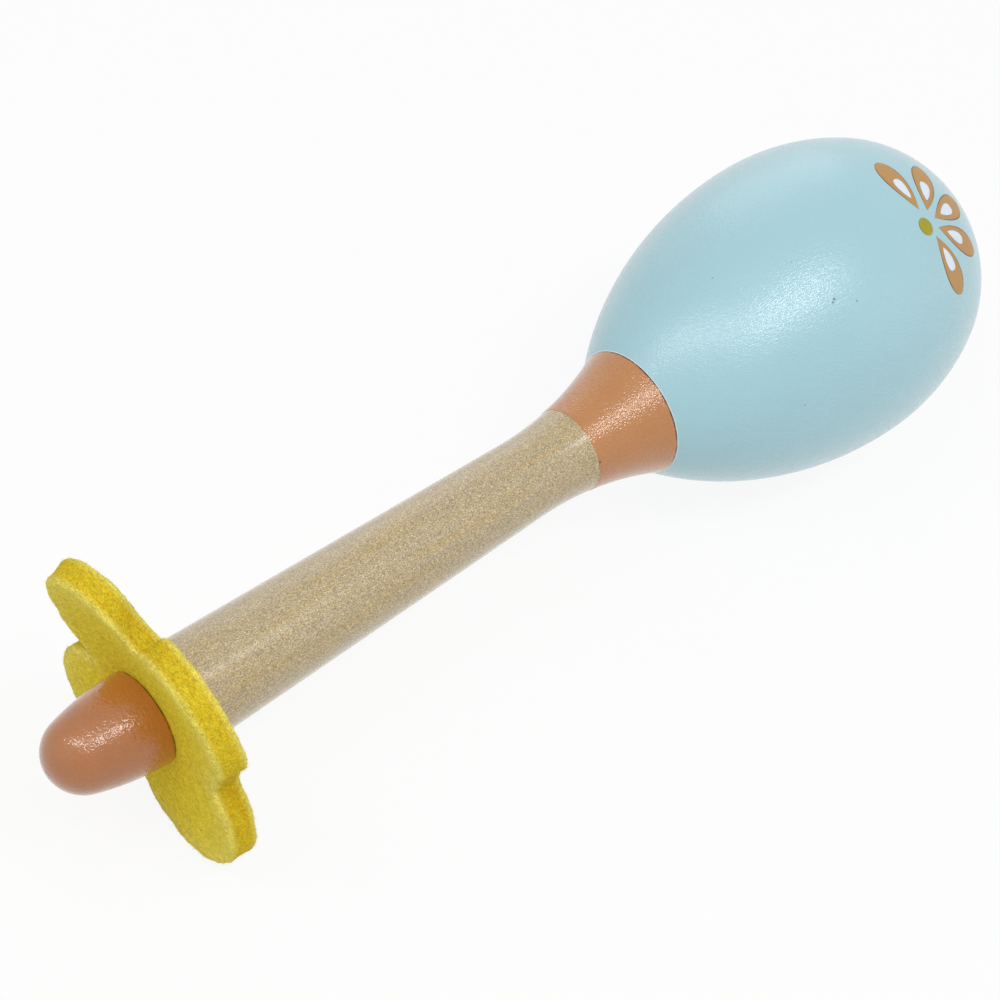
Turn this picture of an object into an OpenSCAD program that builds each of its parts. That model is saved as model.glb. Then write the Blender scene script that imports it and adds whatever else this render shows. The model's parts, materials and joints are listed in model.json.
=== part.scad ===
// Wooden maraca, lying at rest: a hollow turned head with loose beads, a flared neck, a tapered handle,
// a felt flower and a round end knob. The X axis runs from the knob to the head, and Z is up.
// Each turned piece is drawn on its own axis, with the knob's tip at zero, and then laid down.

/* [Head] */
// Largest diameter of the egg-shaped head
head_d = 55.75; // [48:0.25:64]
// Length of the head from the neck to the top of the crown
head_len = 79; // [72:0.5:84]
// Distance from the neck to the widest place, where the two halves meet
bowl_len = 44.5; // [40:0.5:50]
// Radius of the gentle curve between the widest place and the round top
crown_side_r = 46.5; // [44:0.5:90]
// Wall of the hollow head
head_wall = 4; // [3:0.25:6]
// Wood left at the narrow end of the bowl, between the neck and the hollow
bowl_floor = 10; // [8:0.5:14]
// Length of the lip that centres the crown on the bowl
lip_len = 3; // [2:0.25:5]

/* [Neck] */
// Length of the flared neck
neck_len = 14.5; // [10:0.5:18]
// Radius of the hollow curve that flares into the head
flare_r = 63.5; // [44:0.5:80]

/* [Handle] */
// Length of the bare handle, from the felt to the neck
handle_len = 84; // [78:0.25:100]
// Diameter of the handle beside the felt
handle_d = 17.5; // [15:0.1:21]
// Diameter of the waist, where the flare starts
waist_d = 14; // [12.5:0.1:16]
// Length of the straight taper, from the felt to the waist
taper_len = 73; // [64:0.5:80]
// Bevel on the handle's edge beside the felt
handle_bevel = 0.6; // [0.2:0.1:1.5]
// Diameter of the tenon that goes through the neck into the head
tenon_d = 9; // [7:0.25:10]
// Depth of the tenon in the head
tenon_depth = 6; // [4:0.25:7]
// Diameter of the spigot that goes through the felt into the knob
spigot_d = 8; // [6:0.25:9]
// Depth of the spigot in the knob
spigot_depth = 9; // [6:0.25:11]

/* [Felt flower] */
// Thickness of the felt
felt_t = 5; // [3:0.25:8]
// Number of petals
petal_count = 4; // [4:1:6]
// Diameter over the tips of two opposite petals
flower_d = 52.5; // [46:0.5:58]
// Diameter of one round petal end
petal_d = 23.5; // [22:0.5:28]
// Radius of the notch between two petals
notch_r = 1.5; // [0.5:0.25:3]

/* [End knob] */
// Length of the knob
knob_len = 17.5; // [15:0.25:20]
// Diameter of the knob at the felt
knob_d = 16.2; // [14:0.1:17]
// Radius of the knob's side curve
knob_side_r = 46; // [36:1:140]

/* [Rattle beads] */
// Diameter of one loose bead
bead_d = 4; // [3:0.1:5]
// Beads in the middle row: the row on each side has one fewer
bead_row = 6; // [4:1:7]
// Space between neighbouring beads at rest
bead_gap = 0.6; // [0.4:0.1:1]
// Space between a bead and the wall it lies on
bead_seat_gap = 0.2; // [0.1:0.05:0.4]

/* [Fits] */
// Glue space around each tenon, spigot and lip
glue_gap = 0.1; // [0.05:0.05:0.3]

/* [Hidden] */
$fn = 96;
bead_total = 3 * bead_row - 2;
function bead_name(i) = str("rattle_bead_", i < 10 ? "0" : "", i);
BEADS = [for (i = [1 : bead_total]) bead_name(i)];
// Small overrun that lets a cut pass clear of a face
over = 1;

// Places along the axis, from the knob's tip
felt_x = knob_len;
handle_x = felt_x + felt_t;
waist_x = handle_x + taper_len;
neck_x = handle_x + handle_len;
head_x = neck_x + neck_len;
equator_x = head_x + bowl_len;
top_x = head_x + head_len;
hollow_x = head_x + bowl_floor;

// The flare's arc is tangent to the handle's taper at the waist
taper_angle = atan2(waist_d / 2 - handle_d / 2, taper_len);
flare_x = waist_x - flare_r * sin(taper_angle);
flare_y = waist_d / 2 + flare_r * cos(taper_angle);
neck_end_r = flare_y - sqrt(flare_r ^ 2 - (head_x - flare_x) ^ 2);

// Radius of a round end that meets a side arc in a smooth line: length, largest radius, radius of the side arc
function end_radius(len, r, side_r) = len - (len - r) * (2 * side_r - r - len) / (2 * (side_r - len));
// Where the round end and the side arc meet, as a distance from the largest radius, on a skin inset from both
function end_joint(len, r, side_r, inset) =
    let (round_r = end_radius(len, r, side_r))
    len - round_r + (round_r - inset) * (len - round_r) / (side_r - round_r);

// The bowl's arc is level at the equator and ends on the neck's edge
head_r = head_d / 2;
bowl_r = (bowl_len ^ 2 + (head_r - neck_end_r) ^ 2) / (2 * (head_r - neck_end_r));
crown_len = head_len - bowl_len;
crown_end_r = end_radius(crown_len, head_r, crown_side_r);
knob_r = knob_d / 2;
knob_end_r = end_radius(knob_len, knob_r, knob_side_r);
lip_r = head_r - head_wall / 2;

// Petals are round ends on a circle about the axis, with a small arc in each notch
petal_r = petal_d / 2;
petal_ring = flower_d / 2 - petal_r;
half_step = 180 / petal_count;
notch_ring = petal_ring * cos(half_step) + sqrt((petal_r + notch_r) ^ 2 - (petal_ring * sin(half_step)) ^ 2);

// At rest the maraca stands on two petals and on the bowl, so its axis leans by a small angle
petal_reach = petal_ring * cos(half_step) + petal_r;
rest_run = equator_x - felt_x;
rest_rise = petal_reach + bowl_r - head_r;
rest_angle = asin(bowl_r / norm([rest_run, rest_rise])) - atan2(rest_rise, rest_run);
axis_z = petal_reach * cos(rest_angle) - felt_x * sin(rest_angle);
low_x = knob_end_r * (cos(rest_angle) - 1);
high_x = (top_x - crown_end_r) * cos(rest_angle) + crown_end_r;
middle_x = (low_x + high_x) / 2;

// Beads lie in three staggered rows over the lowest place of the hollow
bead_inset = head_wall + bead_seat_gap + bead_d / 2;
bead_pitch = bead_d + bead_gap;
row_pitch = bead_pitch * sin(60);
bead_middle_x = equator_x - (bowl_r - bead_inset) * sin(rest_angle);

// Radius of the head at a place on the axis, on a skin inset from the outside
function head_radius(x, inset) =
    x < equator_x ? head_r - bowl_r + sqrt((bowl_r - inset) ^ 2 - (x - equator_x) ^ 2)
    : x < equator_x + end_joint(crown_len, head_r, crown_side_r, inset)
        ? head_r - crown_side_r + sqrt((crown_side_r - inset) ^ 2 - (x - equator_x) ^ 2)
    : sqrt((crown_end_r - inset) ^ 2 - (x - top_x + crown_end_r) ^ 2);

// A bead's row is -1, 0 or 1, and its place in the row counts from the knob's side
function row_count(row) = bead_row - abs(row);
function bead_index(i) =
    i <= bead_row - 1 ? [-1, i]
    : i <= 2 * bead_row - 1 ? [0, i - bead_row + 1]
    : [1, i - 2 * bead_row + 1];
function bead_place(i) =
    let (row = bead_index(i)[0])
    let (x = bead_middle_x + bead_pitch * (bead_index(i)[1] - (row_count(row) + 1) / 2))
    let (y = row * row_pitch)
    [sqrt(head_radius(x, bead_inset) ^ 2 - y ^ 2), y, x];

// Lays a piece that was drawn on the turning axis down on the ground
module lay_down() {
    translate([-middle_x, 0, axis_z])
        rotate([0, 90 - rest_angle, 0])
            children();
}

// Turns the part of an outline that lies between two places on the axis
module turn_between(from, to) {
    rotate_extrude()
        intersection() {
            children();
            translate([0, from]) square([head_d, to - from]);
        }
}

// A round peg or hole on the axis
module rod(from, to, d) {
    translate([0, 0, from]) cylinder(h = to - from, d = d);
}

// Outline that runs from its largest radius, at zero, up to a round end
module round_end(len, r, side_r, inset) {
    joint = end_joint(len, r, side_r, inset);
    round_r = end_radius(len, r, side_r);
    intersection() {
        translate([r - side_r, 0]) circle(side_r - inset, $fn = 360);
        square([r, joint]);
    }
    intersection() {
        translate([0, len - round_r]) circle(round_r - inset, $fn = 180);
        translate([0, joint]) square([r, len]);
    }
}

// Outline of the whole head, inset from its outside
module head_outline(inset) {
    intersection() {
        translate([head_r - bowl_r, equator_x]) circle(bowl_r - inset, $fn = 360);
        translate([0, head_x]) square([head_r, bowl_len]);
    }
    translate([0, equator_x]) round_end(crown_len, head_r, crown_side_r, inset);
}

// Outline of the handle and the neck: a straight taper, then the flare
module stick_outline() {
    polygon([
        [0, handle_x],
        [handle_d / 2 - handle_bevel, handle_x],
        [handle_d / 2 + handle_bevel * tan(taper_angle), handle_x + handle_bevel],
        [waist_d / 2, waist_x],
        [0, waist_x]
    ]);
    difference() {
        translate([0, waist_x]) square([flare_y, head_x - waist_x]);
        translate([flare_y, flare_x]) circle(flare_r, $fn = 360);
    }
}

// Outline of the flower, with two petals pointing down
module flower_outline() {
    for (k = [0 : petal_count - 1])
        rotate(half_step * (2 * k + 1)) translate([petal_ring, 0]) circle(petal_r);
    difference() {
        polygon([
            for (k = [0 : 2 * petal_count - 1])
                let (ring = k % 2 == 0 ? notch_ring : petal_ring)
                ring * [cos(half_step * k), sin(half_step * k)]
        ]);
        for (k = [0 : petal_count - 1])
            rotate(half_step * 2 * k) translate([notch_ring, 0]) circle(notch_r);
    }
}

// Domed outer half of the head, rebated to sit on the bowl's lip
module head_crown() {
    color("#aecfd8")
        lay_down() difference() {
            turn_between(equator_x, top_x) head_outline(0);
            turn_between(equator_x - over, top_x) head_outline(head_wall);
            rod(equator_x - over, equator_x + lip_len + glue_gap, 2 * (lip_r + glue_gap));
        }
}

// Half of the head on the neck's side, with the socket for the tenon and the lip for the crown
module head_bowl() {
    color("#aecfd8")
        lay_down() difference() {
            union() {
                turn_between(head_x, equator_x) head_outline(0);
                rod(equator_x - head_wall, equator_x + lip_len, 2 * lip_r);
            }
            turn_between(hollow_x, top_x) head_outline(head_wall);
            rod(head_x - over, head_x + tenon_depth + glue_gap, tenon_d + 2 * glue_gap);
        }
}

// Flared neck with a bore for the tenon
module neck_collar() {
    color("#b98560")
        lay_down() difference() {
            turn_between(neck_x, head_x) stick_outline();
            rod(neck_x - over, head_x + over, tenon_d + 2 * glue_gap);
        }
}

// Tapered handle with its tenon and its spigot
module handle() {
    color("#cdbb97")
        lay_down() union() {
            turn_between(handle_x, neck_x) stick_outline();
            rod(neck_x - over, head_x + tenon_depth, tenon_d);
            rod(felt_x - spigot_depth, handle_x + over, spigot_d);
        }
}

// Felt flower on the spigot
module felt_flower() {
    color("#d8c64a")
        lay_down() difference() {
            translate([0, 0, felt_x]) linear_extrude(felt_t) flower_outline();
            rod(felt_x - over, handle_x + over, spigot_d + 2 * glue_gap);
        }
}

// Round end knob with a blind bore for the spigot
module end_knob() {
    color("#b9805c")
        lay_down() difference() {
            rotate_extrude()
                translate([0, knob_len]) mirror([0, 1]) round_end(knob_len, knob_r, knob_side_r, 0);
            rod(felt_x - spigot_depth - glue_gap, felt_x + over, spigot_d + 2 * glue_gap);
        }
}

// One loose bead on the floor of the hollow
module rattle_bead(i) {
    color("#8f6b45")
        lay_down() translate(bead_place(i)) sphere(d = bead_d, $fn = 32);
}

head_crown();
head_bowl();
neck_collar();
handle();
felt_flower();
end_knob();
for (i = [1 : bead_total])
    rattle_bead(i);
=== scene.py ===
"""Dresses a wooden maraca: painted head with a half daisy, neck, bare handle, felt flower and knob."""
import json
import math
import random

import bmesh
import bpy
from bpy.props import FloatProperty, FloatVectorProperty, IntProperty, PointerProperty
from mathutils import Matrix, Quaternion, Vector, noise


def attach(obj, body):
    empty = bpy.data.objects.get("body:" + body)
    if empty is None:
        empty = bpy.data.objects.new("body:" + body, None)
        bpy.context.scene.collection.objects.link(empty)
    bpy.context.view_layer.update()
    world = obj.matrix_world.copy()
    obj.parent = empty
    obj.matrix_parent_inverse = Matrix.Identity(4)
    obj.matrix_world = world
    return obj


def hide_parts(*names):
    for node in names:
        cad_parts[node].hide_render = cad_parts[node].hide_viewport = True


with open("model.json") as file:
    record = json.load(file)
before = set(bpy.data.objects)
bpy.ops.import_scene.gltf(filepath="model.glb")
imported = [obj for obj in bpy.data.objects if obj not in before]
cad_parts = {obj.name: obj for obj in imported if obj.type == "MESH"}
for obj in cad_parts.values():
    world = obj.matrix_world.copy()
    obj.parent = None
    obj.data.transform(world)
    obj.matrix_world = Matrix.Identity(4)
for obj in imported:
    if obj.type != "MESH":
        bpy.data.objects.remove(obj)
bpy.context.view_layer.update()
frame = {"nodes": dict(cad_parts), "record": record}

bl_info = {
    "name": "Wooden maraca",
    "version": (1, 0, 0),
    "blender": (4, 5, 0),
    "location": "View3D > Sidebar > Maraca",
    "description": "Builds the painted, lacquered and felt pieces of a wooden maraca",
    "category": "Add Mesh",
}

MM = 0.001
BODY = "maraca"
FULL_TURN = 2 * math.pi
QUARTER_TURN = math.pi / 2
# Inputs of a Mix node that mixes colours
COLOUR_A = 6
COLOUR_B = 7


# Places that come from the frame

def turning_frame():
    """The maraca's own axes: X along the turning axis from the knob's tip, Y to the side and Z up."""
    grip = frame["record"]["mounts"][0]
    axis = Vector(grip["axis"]).normalized()
    side = Vector((0, 1, 0))
    up = axis.cross(side)
    place = Vector(grip["pos_m"])
    tip = min(axis.dot(corner.co - place) for corner in frame["nodes"]["end_knob"].data.vertices)
    place += tip * axis
    return Matrix([*zip(axis, side, up, place), (0, 0, 0, 1)])


TURNING = turning_frame()


def corners(node):
    """Each corner of a CAD node as its place along the turning axis and its distance from that axis."""
    inverse = TURNING.inverted()
    places = [inverse @ corner.co for corner in frame["nodes"][node].data.vertices]
    return [(place.x, math.hypot(place.y, place.z)) for place in places]


def span(node):
    """First and last place of a CAD node along the turning axis."""
    alongs = [along for along, radius in corners(node)]
    return min(alongs), max(alongs)


def rims(node, along):
    """Smallest and largest radius that a CAD node has at a place along the turning axis."""
    near = 0.02 * MM
    radii = [radius for place, radius in corners(node) if abs(place - along) < near]
    return min(radii), max(radii)


SPIGOT_TIP, TENON_TIP = span("handle")
FELT_FRONT, FELT_BACK = span("felt_flower")
NECK_START, HEAD_START = span("neck_collar")
EQUATOR, HEAD_TOP = span("head_crown")
LIP_END = span("head_bowl")[1]
SPIGOT_R = rims("handle", SPIGOT_TIP)[1]
TENON_R = rims("handle", TENON_TIP)[1]
NECK_BORE_R, NECK_END_R = rims("neck_collar", HEAD_START)
KNOB_BORE_R, KNOB_R = rims("end_knob", FELT_FRONT)
KNOB_BORE_END = SPIGOT_TIP - (KNOB_BORE_R - SPIGOT_R)
LIP_R = rims("head_bowl", LIP_END)[1]
HEAD_R = rims("head_bowl", EQUATOR)[1]
FLOWER_R = max(radius for along, radius in corners("felt_flower"))
# The flower and the knob are glued on by hand, a little off the axis, and the knob's tip leans further off
SEAT_SHIFT = Vector((0.16 * MM, 0.16 * MM))
KNOB_SLANT = Vector((0.45 * MM, 0.22 * MM))
# Soft felt and its fibres stay this far above the floor
FLOOR_GAP = 0.05 * MM


def linear(code):
    """A hex colour, as it is written in sRGB, as the linear colour that shaders use."""
    shares = [int(code[place:place + 2], 16) / 255 for place in (1, 3, 5)]
    return [share / 12.92 if share <= 0.04045 else ((share + 0.055) / 1.055) ** 2.4 for share in shares]


def length(title, what, size):
    """A length that a user may change, from its millimetres."""
    return FloatProperty(name=title, description=what, default=size * MM, min=0, unit="LENGTH", precision=5)


def angle(title, what, degrees):
    """An angle that a user may change, from its degrees."""
    return FloatProperty(name=title, description=what, default=math.radians(degrees), subtype="ANGLE")


def power(title, what, watts):
    """The power of a light that a user may change."""
    return FloatProperty(name=title, description=what, default=watts, min=0, subtype="POWER")


def colour(title, what, code):
    """A colour that a user may change, from its hex value."""
    return FloatVectorProperty(
        name=title, description=what, default=linear(code), min=0, max=1, size=3, subtype="COLOR")


# Sizes and colours that a user would change

class HeadSettings(bpy.types.PropertyGroup):
    crown_curve: length("Crown curve", "Radius of the curve beside the widest place", 46.5)
    wall: length("Wall", "Wall of the hollow head", 4)
    floor: length("Floor", "Wood between the neck and the hollow", 10)
    socket: length("Socket", "Depth of the socket for the handle's tenon", 6.1)
    paint_edge: length("Paint edge", "Rounding of the paint at the neck", 0.05)
    paint: colour("Paint", "Pale blue paint", "#9CC6D0")


class DaisySettings(bpy.types.PropertyGroup):
    heart_along: length("Heart place", "Place of the heart from the widest part, along the skin", 10.5)
    heart_turn: angle("Heart turn", "Turn of the heart from the top of the maraca", -29.87)
    heart_width: length("Heart width", "Diameter of the heart", 3.4)
    petal_start: length("Petal start", "Distance from the hub to a petal's point", 2.8)
    petal_length: length("Petal length", "Length of a petal", 11.7)
    petal_width: length("Petal width", "Width of a petal", 5.1)
    drop_width: length("Drop width", "Width of the pale drop in a petal", 2.4)
    film: length("Film", "Thickness of the ornament's paint", 0.04)
    petal_paint: colour("Petals", "Brown ornament paint", "#B6894C")
    drop_paint: colour("Drops", "White ornament paint", "#DCE7F1")
    heart_paint: colour("Heart", "Olive ornament paint", "#A09400")


class NeckSettings(bpy.types.PropertyGroup):
    flare: length("Flare", "Radius of the hollow curve from the handle to the head", 63.5)
    paint_edge: length("Paint edge", "Rounding of the paint at the head", 0.1)
    film: length("Film", "Thickness of the paint over the wood of the handle", 0.05)
    paint: colour("Paint", "Coral paint", "#B4763C")


class HandleSettings(bpy.types.PropertyGroup):
    width: length("Width", "Diameter beside the felt", 17.5)
    waist: length("Waist", "Diameter where the flare starts", 14)
    taper: length("Taper", "Length of the straight taper from the felt to the waist", 73)
    bevel: length("Bevel", "Bevel beside the felt", 0.6)
    wood: colour("Wood", "Bare pale wood", "#AE9C78")
    fleck: colour("Fleck", "Short dark rays of the wood", "#655330")
    streak: colour("Streak", "Warm streaks along the grain", "#B2985F")


class FeltSettings(bpy.types.PropertyGroup):
    petal_count: IntProperty(name="Petals", description="Number of felt petals", default=4, min=3)
    petal_width: length("Petal width", "Diameter of a petal's round end", 23.5)
    notch: length("Notch", "Softness of the notch between two petals", 1.0)
    edge: length("Edge", "Rounding of the cut edge", 0.9)
    hollow: length("Hollow", "How far the cut edge is drawn in at its middle", 0.1)
    lump: length("Lump", "Height of the felt's uneven surface", 0.16)
    fibre_length: length("Fibre length", "Length of a stray fibre", 0.6)
    fibre_width: length("Fibre width", "Width of a stray fibre", 0.03)
    fibre_count: IntProperty(name="Fibres", description="Number of stray fibres", default=7000, min=0)
    face: colour("Face", "Felt on the pressed faces", "#DFC835")
    cut: colour("Cut edge", "Felt on the cut edge", "#CEB325")
    dense: colour("Dense felt", "Denser spots of the cut edge", "#C9A014")
    # Painted sheen: the felt's fuzzy rim is painted in this paler colour
    rim: colour("Rim", "Pale brushed rim", "#E6D866")


class KnobSettings(bpy.types.PropertyGroup):
    side_curve: length("Side curve", "Radius of the knob's side", 46)
    edge: length("Edge", "Rounding of the edge at the felt", 0.4)
    paint: colour("Paint", "Coral paint", "#A7652C")


class BeadSettings(bpy.types.PropertyGroup):
    paint: colour("Bead", "Plain brown bead", "#8F6B45")


class StageSettings(bpy.types.PropertyGroup):
    aim: FloatVectorProperty(
        name="Aim", description="Point that the camera looks at", size=3, subtype="TRANSLATION",
        default=(-7.214 * MM, 1.369 * MM, 20.749 * MM))
    heading: angle("Heading", "Direction that the camera looks in, from X", 39.468)
    elevation: angle("Elevation", "Height of the camera above the horizon", 47.865)
    roll: angle("Roll", "Roll of the camera", 10.991)
    distance: length("Distance", "Distance from the camera to its aim", 423.32)
    lens: FloatProperty(name="Lens", description="Focal length", default=90.602, min=1, unit="CAMERA")
    overhead: power("Overhead light", "Power of the soft box overhead", 2.6)
    strip: power("Strip light", "Power of the narrow soft box overhead", 1.65)
    front: power("Front light", "Power of the soft box in front", 0.65)
    right: power("Right light", "Power of the soft box on the right", 0.72)
    rear: power("Rear light", "Power of the soft box behind", 0.6)
    sky: FloatProperty(name="Sky", description="Strength of the white surround", default=0.5, min=0)
    floor: colour("Floor", "Plain pale floor", "#EAEAEA")


class MaracaSettings(bpy.types.PropertyGroup):
    head: PointerProperty(type=HeadSettings)
    daisy: PointerProperty(type=DaisySettings)
    neck: PointerProperty(type=NeckSettings)
    handle: PointerProperty(type=HandleSettings)
    felt: PointerProperty(type=FeltSettings)
    knob: PointerProperty(type=KnobSettings)
    bead: PointerProperty(type=BeadSettings)
    stage: PointerProperty(type=StageSettings)


# Meshes

def ring(mesh, along, radius, sides):
    """A ring of corners about the turning axis, or one corner where the radius is zero."""
    if radius == 0:
        return [mesh.verts.new((along, 0, 0))]
    turns = [FULL_TURN * side / sides for side in range(sides)]
    return [mesh.verts.new((along, radius * math.sin(turn), radius * math.cos(turn))) for turn in turns]


def skin(mesh, rings, closed=False):
    """Faces between each ring and the next. A ring of one corner is a tip."""
    pairs = list(zip(rings, rings[1:]))
    if closed:
        pairs.append((rings[-1], rings[0]))
    for first, second in pairs:
        for place in range(max(len(first), len(second))):
            after = place + 1
            around = [first[place % len(first)], first[after % len(first)]]
            around += [second[after % len(second)], second[place % len(second)]]
            mesh.faces.new(dict.fromkeys(around))


def turned(runs, sides=192, closed=False):
    """Turns a profile and keeps the edges between its runs sharp. A run is a list of (along, radius) that
    goes on from the end of the run before. A closed profile ends at its first point."""
    mesh = bmesh.new()
    rings = []
    sharp = []
    for run in runs:
        rings += [ring(mesh, along, radius, sides) for along, radius in run]
        sharp.append(rings[-1])
    if closed:
        bmesh.ops.delete(mesh, geom=rings.pop())
        sharp[-1] = rings[0]
    skin(mesh, rings, closed)
    for edge_ring in sharp:
        if len(edge_ring) > 1:
            for place, corner in enumerate(edge_ring):
                mesh.edges.get((corner, edge_ring[place - 1])).smooth = False
    return mesh


def arc(centre, radius, start, end, steps):
    """Points on an arc as (along, radius) pairs. Its angles are taken from the turning axis."""
    turns = [start + (end - start) * step / steps for step in range(steps + 1)]
    return [(centre[0] + radius * math.cos(turn), centre[1] + radius * math.sin(turn)) for turn in turns]


def eased(before, corner, after, radius, steps=6):
    """A rounded corner between two straight stretches of a profile."""
    corner = Vector(corner)
    to_before = (Vector(before) - corner).normalized()
    to_after = (Vector(after) - corner).normalized()
    half = to_before.angle(to_after) / 2
    centre = corner + (to_before + to_after).normalized() * radius / math.sin(half)
    start = corner + to_before * radius / math.tan(half) - centre
    end = corner + to_after * radius / math.tan(half) - centre
    spokes = [start.lerp(end, step / steps).normalized() * radius for step in range(steps + 1)]
    return [tuple(centre + spoke) for spoke in spokes]


def round_end(size, radius, side_radius):
    """Radius of a round end that meets a side curve smoothly, and the angle where they meet."""
    spare = (size - radius) * (2 * side_radius - radius - size) / (2 * (side_radius - size))
    end_radius = size - spare
    return end_radius, math.atan2(side_radius - radius, size - end_radius)


def piece(name, mesh, material, node=None):
    """Makes a mesh a smooth piece that lies on the turning axis and moves with the maraca."""
    bmesh.ops.recalc_face_normals(mesh, faces=mesh.faces)
    for face in mesh.faces:
        face.smooth = True
    data = bpy.data.meshes.new(name)
    mesh.to_mesh(data)
    mesh.free()
    data.transform(TURNING)
    data.materials.append(material)
    made = bpy.data.objects.new(name, data)
    bpy.context.scene.collection.objects.link(made)
    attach(made, BODY)
    if node:
        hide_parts(node)


# Materials

# Size in millimetres from which a pit in the paint is fully dark
DARK_PIT = 0.32
# Pits in the paint, in millimetres and degrees: each one's place along the axis, its turn, its distance from
# the axis and its size
HEAD_PITS = (
    (150.93, -34.4, 26.32, 0.36),
    (150.42, -35.3, 26.21, 0.3),
    (154.54, -39.3, 27.0, 0.25),
    (137.49, 2.7, 21.95, 0.2),
    (148.5, -14.0, 25.75, 0.18),
    (140.32, -69.5, 23.13, 0.2))
NECK_CHIPS = ((106.7, -64.6, 7.72, 0.3),)
KNOB_PITS = (
    (0.06, 72, 0.95, 0.42),
    (0.03, 50, 0.5, 0.36))


def per(size):
    """Scale of a pattern whose features are this many millimetres across."""
    return 1 / (size * MM)


def tone(paint, share):
    """A colour made lighter or darker, with its alpha."""
    return (*[min(1, part * share) for part in paint], 1)


def add(tree, kind, settings=None):
    """Adds a shader node with its settings. A lower-case name is an option of the node, and any other name or
    number an input: a value, a socket to link, or a node, which stands for its first output in use."""
    node = tree.nodes.new("ShaderNode" + kind)
    for name, value in (settings or {}).items():
        if isinstance(value, bpy.types.Node):
            value = next(output for output in value.outputs if output.enabled)
        if str(name).islower():
            setattr(node, name, value)
        elif isinstance(value, bpy.types.NodeSocket):
            tree.links.new(value, node.inputs[name])
        else:
            node.inputs[name].default_value = value
    return node


def blank(name):
    """An empty material, its tree and coordinates on the maraca's own axes."""
    material = bpy.data.materials.new(name)
    material.use_nodes = True
    tree = material.node_tree
    tree.nodes.clear()
    coords = add(tree, "TexCoord")
    own = add(tree, "Mapping", {
        "vector_type": "TEXTURE", "Vector": coords.outputs["Object"], "Location": TURNING.translation,
        "Rotation": TURNING.to_euler()})
    return material, tree, own


def pits(tree, coords, places):
    """How far a place lies in the nearest of a few pits, from none to one. A small pit is faint too."""
    share = 0.0
    for along, turn, radius, size in places:
        turn = math.radians(turn)
        spot = along * MM, radius * MM * math.sin(turn), radius * MM * math.cos(turn)
        away = add(tree, "VectorMath", {"operation": "DISTANCE", 0: coords, 1: spot})
        depth = add(tree, "MapRange", {
            "Value": away, "From Min": 0.4 * size * MM, "From Max": size * MM,
            "To Min": min(1, size / DARK_PIT), "To Max": 0})
        share = add(tree, "Math", {"operation": "MAXIMUM", 0: share, 1: depth})
    return share


def satin_blue_paint(settings):
    """Two sprayed coats of satin paint on turned wood: an even pale blue with a highlight along the axis,
    which the wood's pores break into short strokes. They are drawn coarser than they are, to show at all.
    There are a few pits and specks of dust. A thin pale line along the paint's edge at the neck is a painted
    highlight."""
    material, tree, coords = blank("satin_blue_paint_on_wood")
    cloud = add(tree, "TexNoise", {"Vector": coords, "Scale": per(14), "Detail": 3})
    base = add(tree, "Mix", {
        "data_type": "RGBA", 0: cloud, COLOUR_A: tone(settings.paint, 0.96),
        COLOUR_B: tone(settings.paint, 1.04)})
    along = add(tree, "SeparateXYZ", {"Vector": coords})
    # Painted highlight: a thin pale line along the paint's edge at the neck
    painted_edge_highlight = add(tree, "MapRange", {
        "Value": along, "From Min": HEAD_START + 0.03 * MM, "From Max": HEAD_START + 0.1 * MM,
        "To Min": 0.95, "To Max": 0})
    edge_highlighted = add(tree, "Mix", {
        "data_type": "RGBA", 0: painted_edge_highlight, COLOUR_A: base, COLOUR_B: tone(linear("#F4F7F4"), 1)})
    dust = add(tree, "TexVoronoi", {"Vector": coords, "Scale": per(15)})
    speck = add(tree, "MapRange", {
        "Value": dust, "From Min": 0.008, "From Max": 0.016, "To Min": 0.6, "To Max": 0})
    marked = add(tree, "Math", {"operation": "MAXIMUM", 0: speck, 1: pits(tree, coords, HEAD_PITS)})
    paint = add(tree, "Mix", {
        "data_type": "RGBA", 0: marked, COLOUR_A: edge_highlighted, COLOUR_B: tone(settings.paint, 0.25)})
    grain = add(tree, "Mapping", {"Vector": coords, "Scale": (0.3, 1, 1)})
    pores = add(tree, "TexNoise", {"Vector": grain, "Scale": per(0.24), "Detail": 1})
    peel = add(tree, "TexNoise", {"Vector": coords, "Scale": per(1.3), "Detail": 1})
    pore_bump = add(tree, "Bump", {"Height": pores, "Distance": 0.085 * MM, "Strength": 0.75})
    bump = add(tree, "Bump", {
        "Height": peel, "Distance": 0.05 * MM, "Strength": 0.6, "Normal": pore_bump})
    rough = add(tree, "MapRange", {
        "Value": pores, "From Min": 0.3, "From Max": 0.7, "To Min": 0.36, "To Max": 0.48})
    shader = add(tree, "BsdfPrincipled", {
        "Base Color": paint, "Roughness": rough, "Normal": bump, "IOR": 1.5, "Coat Weight": 0.8,
        "Coat Roughness": 0.19, "Coat IOR": 1.5, "Coat Normal": bump})
    add(tree, "OutputMaterial", {"Surface": shader})
    return material


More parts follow.
